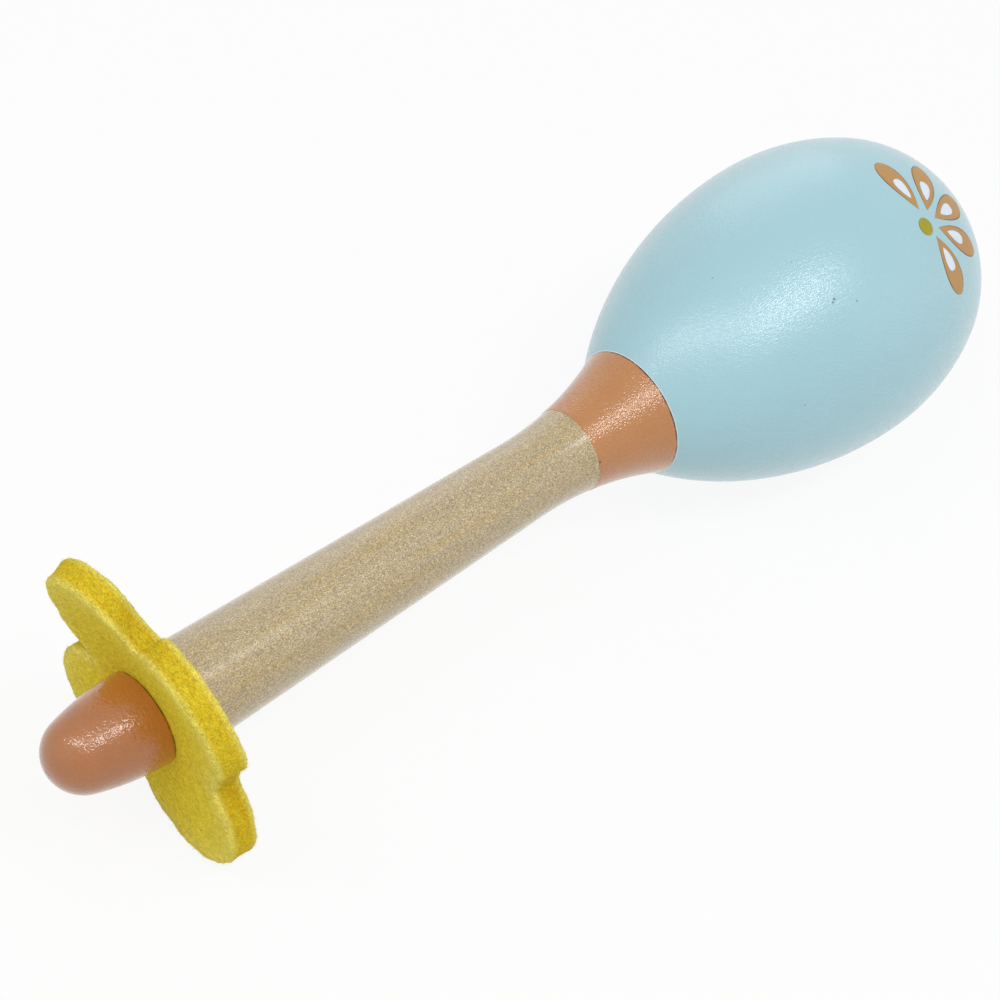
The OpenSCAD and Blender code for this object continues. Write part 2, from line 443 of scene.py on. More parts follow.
def gloss_coral_paint(name, paint, peel_height, grain_height, painted_light_share, joint_place, chips):
    """Dipped gloss paint on turned wood: coral, with a highlight that orange peel breaks into glints.
    Grain and turning lines show through it. Along the joint at joint_place it is painted dark, as painted
    shade in the joint. Towards that joint the paint is made paler by a share that the caller gives: painted
    light, for the light that falls there. The paint is made paler towards that joint by painted_light_share,
    because it looks so. Whether the paint or the light does that is a guess."""
    painted_light_reach = 10 * MM
    joint_shade_reach = 0.36 * MM
    joint_shade_full = 0.22 * MM
    material, tree, coords = blank(name)
    cloud = add(tree, "TexNoise", {"Vector": coords, "Scale": per(6), "Detail": 3})
    around = add(tree, "Mapping", {"Vector": coords, "Scale": (1, 0.14, 0.14)})
    lines = add(tree, "TexNoise", {"Vector": around, "Scale": per(0.45), "Detail": 2})
    grain = add(tree, "TexNoise", {"Vector": coords, "Scale": per(0.3), "Detail": 0})
    base = add(tree, "Mix", {
        "data_type": "RGBA", 0: cloud, COLOUR_A: tone(paint, 0.92), COLOUR_B: tone(paint, 1.08)})
    speckle = add(tree, "MapRange", {
        "Value": grain, "From Min": 0.3, "From Max": 0.7, "To Min": 0.96, "To Max": 1.04})
    along = add(tree, "SeparateXYZ", {"Vector": coords})
    # Painted light: the paint grows paler towards the joint, for the light that falls there
    painted_light = add(tree, "MapRange", {
        "Value": along, "From Min": joint_place - painted_light_reach, "From Max": joint_place, "To Min": 1,
        "To Max": painted_light_share})
    shares = add(tree, "Math", {"operation": "MULTIPLY", 0: speckle, 1: painted_light})
    grained = add(tree, "Mix", {
        "data_type": "RGBA", "blend_type": "MULTIPLY", 0: 1.0, COLOUR_A: base, COLOUR_B: shares})
    # Painted shade: the paint darkens along the joint, broken into patches
    joint = add(tree, "MapRange", {
        "interpolation_type": "SMOOTHSTEP", "Value": along, "From Min": joint_place - joint_shade_reach,
        "From Max": joint_place - joint_shade_full})
    broken = add(tree, "TexNoise", {"Vector": coords, "Scale": per(1.1), "Detail": 2})
    patchy = add(tree, "MapRange", {
        "Value": broken, "From Min": 0.4, "From Max": 0.52, "To Min": 0.35, "To Max": 1})
    joint_shade = add(tree, "Math", {"operation": "MULTIPLY", 0: joint, 1: patchy})
    marked = add(tree, "Math", {"operation": "MAXIMUM", 0: joint_shade, 1: pits(tree, coords, chips)})
    shade = add(tree, "Mix", {
        "data_type": "RGBA", 0: marked, COLOUR_A: grained, COLOUR_B: tone(linear("#241C12"), 1)})
    peel = add(tree, "TexNoise", {"Vector": coords, "Scale": per(0.7), "Detail": 2})
    line_bump = add(tree, "Bump", {"Height": lines, "Distance": 0.4 * grain_height, "Strength": 0.7})
    grain_bump = add(tree, "Bump", {
        "Height": grain, "Distance": grain_height, "Strength": 0.9, "Normal": line_bump})
    bump = add(tree, "Bump", {
        "Height": peel, "Distance": peel_height, "Strength": 0.9, "Normal": grain_bump})
    shader = add(tree, "BsdfPrincipled", {
        "Base Color": shade, "Roughness": 0.34, "Normal": bump, "IOR": 1.45, "Coat Weight": 1,
        "Coat Roughness": 0.11, "Coat IOR": 1.5, "Coat Normal": bump})
    add(tree, "OutputMaterial", {"Surface": shader})
    return material


def lacquered_beech(settings):
    """Turned beech under clear satin lacquer: pale, with fine dark and light rays, and warm streaks along the
    grain. The lacquer sinks into the pores, so its highlight is a band of fine sparkles, and its sides look
    pale. Pores and cells are drawn coarser than they are, to show at all."""
    material, tree, coords = blank("lacquered_beech")
    long_grain = add(tree, "Mapping", {"Vector": coords, "Scale": (0.06, 1, 1)})
    short_grain = add(tree, "Mapping", {"Vector": coords, "Scale": (0.6, 1, 1)})
    streaks = add(tree, "TexNoise", {"Vector": long_grain, "Scale": per(1.1), "Detail": 3})
    streak_share = add(tree, "MapRange", {
        "Value": streaks, "From Min": 0.42, "From Max": 0.66, "To Min": 0, "To Max": 0.85})
    rays = add(tree, "TexVoronoi", {"Vector": short_grain, "Scale": per(0.11)})
    ray = add(tree, "SeparateColor", {"Color": rays.outputs["Color"]})
    dark_share = add(tree, "MapRange", {
        "Value": ray, "From Min": 0.55, "From Max": 1, "To Min": 0, "To Max": 0.6})
    light_share = add(tree, "MapRange", {
        "Value": ray, "From Min": 0, "From Max": 0.4, "To Min": 0.52, "To Max": 0})
    base = add(tree, "Mix", {
        "data_type": "RGBA", 0: streak_share, COLOUR_A: tone(settings.wood, 1),
        COLOUR_B: tone(settings.streak, 1)})
    bright = add(tree, "Mix", {
        "data_type": "RGBA", 0: light_share, COLOUR_A: base, COLOUR_B: tone(settings.wood, 1.95)})
    flecked = add(tree, "Mix", {
        "data_type": "RGBA", 0: dark_share, COLOUR_A: bright, COLOUR_B: tone(settings.fleck, 1)})
    cells = add(tree, "TexVoronoi", {"Vector": short_grain, "Scale": per(0.18)})
    cell_share = add(tree, "MapRange", {
        "Value": cells, "From Min": 0.25, "From Max": 0.8, "To Min": 1.25, "To Max": 0.75})
    wood = add(tree, "Mix", {
        "data_type": "RGBA", "blend_type": "MULTIPLY", 0: 1.0, COLOUR_A: flecked, COLOUR_B: cell_share})
    pores = add(tree, "TexNoise", {"Vector": short_grain, "Scale": per(0.2), "Detail": 0})
    bump = add(tree, "Bump", {"Height": pores, "Distance": 0.15 * MM, "Strength": 0.8})
    shader = add(tree, "BsdfPrincipled", {
        "Base Color": wood, "Roughness": 0.25, "Normal": bump, "IOR": 1.5, "Coat Weight": 0.8,
        "Coat Roughness": 0.24, "Coat IOR": 1.5, "Sheen Weight": 0.5, "Sheen Roughness": 0.35})
    add(tree, "OutputMaterial", {"Surface": shader})
    return material


def pressed_wool_felt(settings):
    """Thick pressed wool felt, die cut: matted fibres give a fine-grained yellow without gloss.
    The cut edge is denser and more golden, and its fuzzy rim is painted pale, as a painted sheen of the
    fibres there. The fibres are drawn coarser than they are, to show at all."""
    material, tree, coords = blank("pressed_wool_felt")
    wall = add(tree, "Attribute", {"attribute_name": "wall"})
    rim = add(tree, "Attribute", {"attribute_name": "rim"})
    tufts = add(tree, "TexNoise", {"Vector": coords, "Scale": per(1.6), "Detail": 2, "Distortion": 0.6})
    combed = add(tree, "Mapping", {
        "Vector": coords, "Rotation": (math.radians(40), 0, 0), "Scale": (1, 0.34, 1)})
    hairs = add(tree, "TexNoise", {
        "Vector": combed, "Scale": per(0.24), "Detail": 1, "Roughness": 0.7, "Distortion": 1})
    dense = add(tree, "MapRange", {
        "Value": tufts, "From Min": 0.38, "From Max": 0.68, "To Min": 0, "To Max": 1})
    cut_shade = add(tree, "Mix", {
        "data_type": "RGBA", 0: dense, COLOUR_A: tone(settings.cut, 1),
        COLOUR_B: tone(settings.dense, 0.97)})
    cut = add(tree, "Mix", {
        "data_type": "RGBA", 0: wall.outputs["Fac"], COLOUR_A: tone(settings.face, 1),
        COLOUR_B: cut_shade})
    # Painted sheen: the felt is painted paler along its fuzzy rim
    pale = add(tree, "Mix", {
        "data_type": "RGBA", 0: rim.outputs["Fac"], COLOUR_A: cut, COLOUR_B: tone(settings.rim, 1)})
    tuft_share = add(tree, "MapRange", {
        "Value": tufts, "From Min": 0.3, "From Max": 0.7, "To Min": 0.94, "To Max": 1.05})
    hair_share = add(tree, "MapRange", {
        "Value": hairs, "From Min": 0.3, "From Max": 0.7, "To Min": 0.68, "To Max": 1.3})
    depth = add(tree, "Math", {"operation": "MULTIPLY", 0: tuft_share, 1: hair_share})
    wool = add(tree, "Mix", {
        "data_type": "RGBA", "blend_type": "MULTIPLY", 0: 1.0, COLOUR_A: pale, COLOUR_B: depth})
    tuft_bump = add(tree, "Bump", {"Height": tufts, "Distance": 0.15 * MM, "Strength": 0.5})
    bump = add(tree, "Bump", {
        "Height": hairs, "Distance": 0.12 * MM, "Strength": 0.7, "Normal": tuft_bump})
    shader = add(tree, "BsdfPrincipled", {
        "Base Color": wool, "Roughness": 0.95, "Specular IOR Level": 0.05, "Normal": bump,
        "Sheen Weight": 0.04, "Sheen Roughness": 0.5, "Sheen Tint": tone(settings.rim, 1)})
    add(tree, "OutputMaterial", {"Surface": shader})
    return material


def stray_wool(settings):
    """Single fibres that stand off the felt: thin, pale and without gloss."""
    material, tree, coords = blank("stray_wool_fibres")
    tint = add(tree, "TexNoise", {"Vector": coords, "Scale": per(1.5), "Detail": 1})
    wool = add(tree, "Mix", {
        "data_type": "RGBA", 0: tint, COLOUR_A: tone(settings.face, 1),
        COLOUR_B: tone(settings.rim, 1.05)})
    shader = add(tree, "BsdfPrincipled", {
        "Base Color": wool, "Roughness": 0.9, "Specular IOR Level": 0.2})
    add(tree, "OutputMaterial", {"Surface": shader})
    return material


def ornament_paint(name, paint, edge_share):
    """Paint put on by a pad: flat, thin and satin, and darker where it gathers along its edge."""
    material, tree, coords = blank(name)
    edge = add(tree, "Attribute", {"attribute_name": "rim"})
    cloud = add(tree, "TexNoise", {"Vector": coords, "Scale": per(1.2), "Detail": 2})
    base = add(tree, "Mix", {
        "data_type": "RGBA", 0: cloud, COLOUR_A: tone(paint, 0.92), COLOUR_B: tone(paint, 1.07)})
    gathered = add(tree, "Mix", {
        "data_type": "RGBA", 0: edge.outputs["Fac"], COLOUR_A: base, COLOUR_B: tone(paint, edge_share)})
    bump = add(tree, "Bump", {"Height": cloud, "Distance": 0.02 * MM, "Strength": 0.4})
    shader = add(tree, "BsdfPrincipled", {
        "Base Color": gathered, "Roughness": 0.45, "Normal": bump, "IOR": 1.5})
    add(tree, "OutputMaterial", {"Surface": shader})
    return material


def tumbled_bead(settings):
    """Small tumbled beads: plain brown, worn to a dull satin by each other and the wall."""
    material, tree, coords = blank("tumbled_bead")
    scuffs = add(tree, "TexNoise", {"Vector": coords, "Scale": per(0.7), "Detail": 3})
    base = add(tree, "Mix", {
        "data_type": "RGBA", 0: scuffs, COLOUR_A: tone(settings.paint, 0.8),
        COLOUR_B: tone(settings.paint, 1.2)})
    bump = add(tree, "Bump", {"Height": scuffs, "Distance": 0.03 * MM, "Strength": 0.5})
    shader = add(tree, "BsdfPrincipled", {
        "Base Color": base, "Roughness": 0.5, "Normal": bump, "IOR": 1.5})
    add(tree, "OutputMaterial", {"Surface": shader})
    return material


def surround_share(tree):
    """One for rays that see the plain white surround itself: from the camera, or mirrored, or through."""
    path = add(tree, "LightPath")
    seen = add(tree, "Math", {
        "operation": "MAXIMUM", 0: path.outputs["Is Camera Ray"], 1: path.outputs["Is Glossy Ray"]})
    return add(tree, "Math", {"operation": "MAXIMUM", 0: seen, 1: path.outputs["Is Transmission Ray"]})


def matt_floor(settings):
    """Matt white board: it keeps a soft shadow and is otherwise the white of the surround."""
    material, tree, coords = blank("matt_white_board")
    whiteness = 0.9
    fibre = add(tree, "TexNoise", {"Vector": coords, "Scale": per(4), "Detail": 2})
    board = add(tree, "Mix", {
        "data_type": "RGBA", 0: fibre, COLOUR_A: tone(settings.floor, 0.99),
        COLOUR_B: tone(settings.floor, 1.01)})
    lit = add(tree, "BsdfDiffuse", {"Color": board})
    white = add(tree, "Emission", {"Color": (1, 1, 1, 1), "Strength": 1})
    share = add(tree, "Math", {"operation": "MULTIPLY", 0: surround_share(tree), 1: whiteness})
    mixed = add(tree, "MixShader", {0: share, 1: lit, 2: white})
    add(tree, "OutputMaterial", {"Surface": mixed})
    return material


# Shapes of the pieces

def crown_curves(settings, inset):
    """Centre and radius of the crown's side arc and of its end arc, inset, and the angle where they meet."""
    end_radius, meeting = round_end(HEAD_TOP - EQUATOR, HEAD_R, settings.crown_curve)
    side = (EQUATOR, HEAD_R - settings.crown_curve), settings.crown_curve - inset
    end = (HEAD_TOP - end_radius, 0), end_radius - inset
    return side, end, meeting


def crown_outline(settings, inset, start):
    """Points of the crown's outline, inset from its outside, from a place along the axis to the top."""
    (side_centre, side_radius), (end_centre, end_radius), meeting = crown_curves(settings, inset)
    first = math.acos((start - EQUATOR) / side_radius)
    points = arc(side_centre, side_radius, first, meeting, steps=28)
    points += arc(end_centre, end_radius, meeting, 0, steps=56)[1:-1]
    return points + [(end_centre[0] + end_radius, 0)]


def bowl_outline(settings, inset, start):
    """Points of the bowl's outline, inset from its outside, from a place on the axis to the widest place."""
    drop = HEAD_R - NECK_END_R
    radius = ((EQUATOR - HEAD_START) ** 2 + drop ** 2) / (2 * drop)
    first = math.acos((start - EQUATOR) / (radius - inset))
    return arc((EQUATOR, HEAD_R - radius), radius - inset, first, QUARTER_TURN, steps=64)


def crown_mesh(settings):
    """The domed half of the head, hollow, with the rebate that sits on the bowl's lip."""
    gap = settings.socket - (TENON_TIP - HEAD_START)
    rebate_end = LIP_END + gap
    rebate_r = LIP_R + gap
    inside = crown_outline(settings, settings.wall, rebate_end)[::-1]
    return turned([
        inside,
        [(rebate_end, rebate_r)],
        [(EQUATOR, rebate_r)],
        [(EQUATOR, HEAD_R)],
        crown_outline(settings, 0, EQUATOR)[1:]], sides=256)


def bowl_mesh(settings):
    """The half of the head on the neck's side, hollow, with its lip, its socket and its eased paint edge."""
    hollow = HEAD_START + settings.floor
    socket_end = HEAD_START + settings.socket
    inside = bowl_outline(settings, settings.wall, hollow)
    lip_top = crown_outline(settings, settings.wall, LIP_END)[0]
    outside = bowl_outline(settings, 0, HEAD_START)[::-1]
    edge = eased(outside[-2], outside[-1], (HEAD_START, 0), settings.paint_edge)
    outside = [point for point in outside if point[0] > edge[0][0]] + edge
    return turned([
        [(hollow, 0), inside[0]],
        inside[1:] + [lip_top],
        [(LIP_END, LIP_R)],
        [(EQUATOR, LIP_R)],
        [(EQUATOR, HEAD_R)],
        outside[1:] + [(HEAD_START, NECK_BORE_R)],
        [(socket_end, NECK_BORE_R)],
        [(socket_end, 0)]], sides=256)


def flare_outline(neck, handle, start, end):
    """Points of the hollow curve between the handle's waist and the head."""
    slope = math.atan2((handle.waist - handle.width) / 2, handle.taper)
    waist_along = FELT_BACK + handle.taper
    centre_along = waist_along - neck.flare * math.sin(slope)
    centre_out = handle.waist / 2 + neck.flare * math.cos(slope)
    first = -math.acos((start - centre_along) / neck.flare)
    last = -math.acos((end - centre_along) / neck.flare)
    return arc((centre_along, centre_out), neck.flare, first, last, steps=24)


def neck_mesh(neck, handle):
    """The flared neck, a paint film prouder than the handle and eased where it meets the head."""
    outside = flare_outline(neck, handle, NECK_START, HEAD_START)
    outside = [(along, radius + neck.film) for along, radius in outside]
    outside[-1] = (HEAD_START, NECK_END_R)
    start = eased((NECK_START, NECK_BORE_R), outside[0], outside[1], neck.film, steps=4)
    end = eased(outside[-2], outside[-1], (HEAD_START, NECK_BORE_R), neck.paint_edge)
    middle = [point for point in outside if start[-1][0] < point[0] < end[0][0]]
    return turned([
        [(NECK_START, NECK_BORE_R)] + start + middle + end + [(HEAD_START, NECK_BORE_R)],
        [(NECK_START, NECK_BORE_R)]], closed=True)


def handle_mesh(neck, handle):
    """The tapered handle with its spigot, its bevel, the start of the flare and its tenon."""
    flare = flare_outline(neck, handle, FELT_BACK + handle.taper, NECK_START)
    slope = (handle.waist - handle.width) / 2 / handle.taper
    bevel_end = (FELT_BACK + handle.bevel, handle.width / 2 + slope * handle.bevel)
    rows = 24
    taper = [tuple(Vector(bevel_end).lerp(Vector(flare[0]), row / rows)) for row in range(rows)]
    return turned([
        [(SPIGOT_TIP, 0), (SPIGOT_TIP, SPIGOT_R)],
        [(FELT_BACK, SPIGOT_R)],
        [(FELT_BACK, handle.width / 2 - handle.bevel)],
        [bevel_end],
        taper[1:] + flare,
        [(NECK_START, TENON_R)],
        [(TENON_TIP, TENON_R)],
        [(TENON_TIP, 0)]])


def knob_mesh(settings):
    """The round end knob with its blind bore and its eased edge at the felt."""
    end_radius, meeting = round_end(FELT_FRONT, KNOB_R, settings.side_curve)
    tip = arc((end_radius, 0), end_radius, math.pi, math.pi - meeting, steps=48)
    side_centre = (FELT_FRONT, KNOB_R - settings.side_curve)
    side = arc(side_centre, settings.side_curve, math.pi - meeting, QUARTER_TURN, steps=20)
    outside = [(0, 0)] + tip[1:-1] + side
    edge = eased(outside[-2], outside[-1], (FELT_FRONT, KNOB_BORE_R), settings.edge)
    outside = [point for point in outside if point[0] < edge[0][0]] + edge
    return turned([
        outside + [(FELT_FRONT, KNOB_BORE_R)],
        [(KNOB_BORE_END, KNOB_BORE_R)],
        [(KNOB_BORE_END, 0)]])


def seat_knob(mesh):
    """Moves the knob's outside to where it was glued on, and leaves its bore on the spigot."""
    near = 0.01 * MM
    for corner in mesh.verts:
        in_bore = math.hypot(corner.co.y, corner.co.z) < KNOB_BORE_R + near
        if not in_bore or corner.co.x < KNOB_BORE_END - near:
            corner.co.yz += SEAT_SHIFT + KNOB_SLANT * (1 - corner.co.x / FELT_FRONT)
    return mesh


def skin_place(head, daisy, across, onward, lift):
    """A point on the crown near the daisy's heart: across it, onward to the top, and lifted off the skin."""
    (side_centre, side_radius), (end_centre, end_radius), meeting = crown_curves(head, 0)
    walked = daisy.heart_along + onward
    side_walk = side_radius * (QUARTER_TURN - meeting)
    if walked < side_walk:
        centre, radius, turn = side_centre, side_radius, QUARTER_TURN - walked / side_radius
    else:
        centre, radius, turn = end_centre, end_radius, meeting - (walked - side_walk) / end_radius
    out = centre[1] + radius * math.sin(turn)
    about = daisy.heart_turn + across / out
    along = centre[0] + (radius + lift) * math.cos(turn)
    out += lift * math.sin(turn)
    return Vector((along, out * math.sin(about), out * math.cos(about)))


class Leaf:
    """A painted leaf: its start, direction, length, width and how pointed its two ends are."""

    def __init__(self, start, direction, size, width, ends):
        self.start = Vector(start)
        self.onward = Vector((math.cos(direction), math.sin(direction)))
        self.sideways = Vector((-self.onward.y, self.onward.x))
        self.size = size
        self.width = width
        self.ends = ends

    def half_width(self, share):
        """Half of the leaf's width at a share of its length."""
        first, last = self.ends
        widest = first / (first + last)
        top = widest ** first * (1 - widest) ** last
        return self.width / 2 * share ** first * (1 - share) ** last / top

    def place(self, share, side):
        """A point of the leaf in its flat layout."""
        middle = self.start + self.onward * self.size * share
        return middle + self.sideways * side * self.half_width(share)


def paint_leaf(mesh, leaf, place, film):
    """Lays a leaf of paint on the skin as a thin closed film whose edge runs down to the skin."""
    rim = mesh.verts.layers.float.get("rim") or mesh.verts.layers.float.new("rim")
    rows = 36
    # Shares of half the leaf's width: the places of its corners, where it stops being flat, and its slope
    sides = (-1, -0.94, -0.84, -0.5, 0, 0.5, 0.84, 0.94, 1)
    flat = 0.9
    slope = 0.08
    sunk = -0.25 * film
    rings = []
    for row in range(rows + 1):
        share = (1 - math.cos(math.pi * row / rows)) / 2
        if row in (0, rows):
            tip = mesh.verts.new(place(*leaf.place(share, 0), sunk))
            tip[rim] = 1
            rings.append([tip])
            continue
        around = []
        for side in sides:
            lift = film if abs(side) < flat else film * (1 - abs(side)) / slope
            corner = mesh.verts.new(place(*leaf.place(share, side), lift + sunk))
            corner[rim] = 1 if abs(side) > flat else 0
            around.append(corner)
        for side in (0.5, 0, -0.5):
            around.append(mesh.verts.new(place(*leaf.place(share, side), 2 * sunk)))
        rings.append(around)
    skin(mesh, rings)


# Directions of the half daisy's petals, which are unevenly spaced, from one side round to the other
DAISY_TURNS = tuple(math.radians(turn) for turn in (4, 48.5, 89, 128, 174))
# How pointed the two ends of a petal, a drop and the heart are
PETAL_ENDS = 1, 0.57
DROP_ENDS = 0.8, 0.35
HEART_ENDS = 0.5, 0.5
# Where a drop starts and how long it is, as shares of its petal's length
DROP_START = 0.2
DROP_LENGTH = 0.39


def daisy_leaves(daisy):
    """The brown petals, the white drops on them and the heart, as flat leaves about the daisy's hub."""
    hub = Vector((0.4 * MM, 0.9 * MM))
    petals = []
    drops = []
    for direction in DAISY_TURNS:
        onward = Vector((math.cos(direction), math.sin(direction)))
        start = hub + onward * daisy.petal_start
        petals.append(Leaf(start, direction, daisy.petal_length, daisy.petal_width, PETAL_ENDS))
        drop_start = start + onward * DROP_START * daisy.petal_length
        drop_length = DROP_LENGTH * daisy.petal_length
        drops.append(Leaf(drop_start, direction, drop_length, daisy.drop_width, DROP_ENDS))
    heart = Leaf((-daisy.heart_width / 2, 0), 0, daisy.heart_width, daisy.heart_width, HEART_ENDS)
    return petals, drops, [heart]


# How each felt petal differs from an even one, in degrees and millimetres: its turn, the place and radius of
# its end, and its lean
PETAL_SHIFTS = (
    (-7.0, 0.74, -0.21, -4.03),
    (-2.5, -0.1, -0.55, 0.64),
    (1.5, -0.93, 1.0, -0.33),
    (2.1, -0.04, 0.63, -3.57))
# Where the felt's cut edge is drawn in, in degrees and millimetres: the turn, the spread, and the depth at
# the front and at the back
EDGE_CUTS = (
    (5, 9, 0, 4.2),
    (285, 7, 1.3, 2.4),
    (354, 6, -0.4, -0.9))
# Where a petal's cut edge starts to pale towards its tip, over how much of the flower's radius, and how far
TIP_START = 0.78
TIP_SPAN = 0.2
TIP_FADE = 0.4
# How pale a face is painted at its fuzzy rim, as a painted sheen of the fibres there
FACE_RIM = 0.8
# Sizes of the felt's lumps and tufts, the tufts' share of their height, and how sharply a petal bends
LUMP_SIZE = 3.2 * MM
TUFT_SIZE = 1.2 * MM
TUFT_SHARE = 0.6
BEND_POWER = 1.5
# Share of a petal's free width over which the lumps grow from none at the knob
SMOOTH_SHARE = 0.25
# Least and greatest size, lift and curl of a stray fibre, as shares of its length, and how far it arches over
FIBRE_SIZES = 0.4, 1.5
FIBRE_LIFTS = 0.08, 0.4
FIBRE_CURLS = -0.5, 0.5
FIBRE_ARCH = 0.6 * math.pi


class FeltPetal:
    """One petal as it was cut and as it bends: its turn, the circle of its end, and its lean to the head."""

    def __init__(self, turn, ring_radius, radius, lean):
        self.turn = turn
        self.ring_radius = ring_radius
        self.radius = radius
        self.lean = lean

    def reach(self, turn):
        """How far the petal's end reaches from the axis in a direction."""
        away = turn - self.turn
        spare = self.radius ** 2 - (self.ring_radius * math.sin(away)) ** 2
        if spare < 0 or math.cos(away) < 0:
            return 0
        return self.ring_radius * math.cos(away) + math.sqrt(spare)


def felt_petals(felt):
    """The petals at their even turns, each with the small unevenness of a soft, hand-fitted piece."""
    radius = felt.petal_width / 2
    ring_radius = FLOWER_R - radius
    step = FULL_TURN / felt.petal_count
    petals = []
    for petal in range(felt.petal_count):
        turn, outward, wider, lean = PETAL_SHIFTS[petal % len(PETAL_SHIFTS)]
        turn = math.radians(turn) + step * (petal + 0.5)
        petals.append(FeltPetal(turn, ring_radius + outward * MM, radius + wider * MM, lean * MM))
    return petals


def flower_reach(petals, turn, softness):
    """Distance from the axis to the flower's edge, with the notches softened."""
    reaches = [petal.reach(turn) for petal in petals]
    longest = max(reaches)
    return longest + softness * math.log(sum(math.exp((reach - longest) / softness) for reach in reaches))


def drawn_in(turn, share):
    """How far the cut edge is drawn in at a turn, at a share of the way from the front to the back."""
    total = 0
    for place, spread, front, back in EDGE_CUTS:
        away = math.remainder(turn - math.radians(place), FULL_TURN)
        total += (front + (back - front) * share) * math.exp(-(away / math.radians(spread)) ** 2)
    return total * MM


def flower_edge(felt, petals, points):
    """The flower's wavy cut edge and the outward direction at each of its points."""
    waves = 3.1
    wave_height = 0.25 * MM
    seed = 5.5
    edge = []
    for point in range(points):
        turn = FULL_TURN * point / points
        onward = Vector((math.sin(turn), math.cos(turn)))
        wave = noise.noise((*onward * waves, seed)) * wave_height
        edge.append(onward * (flower_reach(petals, turn, felt.notch) + wave) + SEAT_SHIFT)
    outward = []
    for point in range(points):
        along = edge[(point + 1) % points] - edge[point - 1]
        outward.append(Vector((-along.y, along.x)).normalized())
    return edge, outward


def felt_section(felt):
    """The felt's cut edge from its front face to its back face: inset, depth, and shares of rim and wall."""
    thick = FELT_BACK - FELT_FRONT
    steps = 6
    bend = [QUARTER_TURN * step / steps for step in range(steps + 1)]
    front = [(felt.edge * (1 - math.sin(turn)), felt.edge * (1 - math.cos(turn))) for turn in bend]
    rows = 7
    wall = []
    for row in range(1, rows):
        share = row / rows
        wall.append((felt.hollow * math.sin(math.pi * share), felt.edge + share * (thick - 2 * felt.edge)))
    back = [(inset, thick - depth) for inset, depth in reversed(front)]
    # Where the cut edge is painted paler, as the sheen of its fuzzy rim
    rim_middle = 0.25 * felt.edge
    rim_spread = 1.2 * felt.edge
    section = []
    for inset, depth in front + wall + back:
        walled = max(0, 1 - inset / felt.edge)
        rimmed = max(0, 1 - abs(min(depth, thick - depth) - rim_middle) / rim_spread)
        section.append((inset, depth, rimmed, walled))
    return section


def felt_mesh(felt):
    """The thick felt flower: soft edges, drawn-in walls, uneven faces and leaning petals."""
    mesh = bmesh.new()
    rim = mesh.verts.layers.float.new("rim")
    wall = mesh.verts.layers.float.new("wall")
    petals = felt_petals(felt)
    thick = FELT_BACK - FELT_FRONT
    face_rows = 26
    points = 640
    edge, outward = flower_edge(felt, petals, points)
    hole = [spot.normalized() * KNOB_BORE_R for spot in edge]
    rings = []

    def lay(spots, depth, rimmed=0, walled=0):
        """Adds one ring of the felt at a depth behind its front face."""
        around = []
        for spot in spots:
            corner = mesh.verts.new((FELT_FRONT + depth, spot.x, spot.y))
            tip = min(1, max(0, spot.length / FLOWER_R - TIP_START) / TIP_SPAN)
            corner[rim] = rimmed
            corner[wall] = walled * (1 - TIP_FADE * tip)
            around.append(corner)
        rings.append(around)

    def cut_ring(inset, depth):
        """The flower's edge, inset, at a depth behind the front face."""
        spots = []
        for point, (spot, out) in enumerate(zip(edge, outward)):
            cut = drawn_in(FULL_TURN * point / points, depth / thick)
            spots.append(spot - out * (inset + cut))
        return spots

    def lay_face(depth, rows):
        """Adds the rings of a face, which is painted paler towards its fuzzy rim, as a sheen of the fibres
        there.
        """
        inner = cut_ring(felt.edge, depth)
        for row in rows:
            share = row / face_rows
            rim_sheen = FACE_RIM * share ** 5
            lay([start.lerp(end, share) for start, end in zip(hole, inner)], depth, rim_sheen)

    lay_face(0, range(face_rows))
    for inset, depth, rimmed, walled in felt_section(felt):
        lay(cut_ring(inset, depth), depth, rimmed, walled)
    lay_face(thick, reversed(range(face_rows)))
    skin(mesh, rings, closed=True)
    bmesh.ops.recalc_face_normals(mesh, faces=mesh.faces)
    mesh.normal_update()
    for corner in mesh.verts:
        lean_felt(felt, petals, corner)
    return mesh


def lean_felt(felt, petals, corner):
    """Moves one corner of the felt by its lumps, by its petal's lean, which keeps the cut edge square to the
    bent face, and off the floor that it rests on."""
    out = Vector((corner.co.y, corner.co.z))
    width = FLOWER_R - KNOB_R
    free = max(0, (out.length - KNOB_R) / width)
    lump = noise.noise(corner.co / LUMP_SIZE) + TUFT_SHARE * noise.noise(corner.co / TUFT_SIZE)
    corner.co += corner.normal * lump * felt.lump * min(1, free / SMOOTH_SHARE)
    turn = math.atan2(out.x, out.y)
    lean = sum(petal.lean * max(0, math.cos(turn - petal.turn)) ** 2 for petal in petals)
    slope = math.atan(lean * BEND_POWER * free ** (BEND_POWER - 1) / width)
    behind = corner.co.x - (FELT_FRONT + FELT_BACK) / 2
    corner.co.x += lean * free ** BEND_POWER + behind * (math.cos(slope) - 1)
    outward = out.normalized() * behind * math.sin(slope)
    corner.co.y -= outward.x
    corner.co.z -= outward.y
    above_floor = (TURNING @ corner.co).z - FLOOR_GAP
    if above_floor < 0:
        corner.co -= TURNING.to_3x3().inverted() @ Vector((0, 0, above_floor))


def fibre_mesh(felt, flower):
    """Short stray fibres rooted in the felt outside the knob, closer together on its rims."""
    seed = 11
    draw = random.Random(seed)
    knob_gap = 0.4 * MM
    face_share = 0.35
    mesh = bmesh.new()
    flower.normal_update()
    roots = list(flower.verts)
    rim = flower.verts.layers.float["rim"]
    made = 0
    while made < felt.fibre_count:
        root = draw.choice(roots)
        clear = math.hypot(root.co.y, root.co.z) > KNOB_R + knob_gap
        if clear and draw.random() < face_share + (1 - face_share) * root[rim]:
            grow_fibre(mesh, draw, felt, root.co, root.normal)
            made += 1
    return mesh


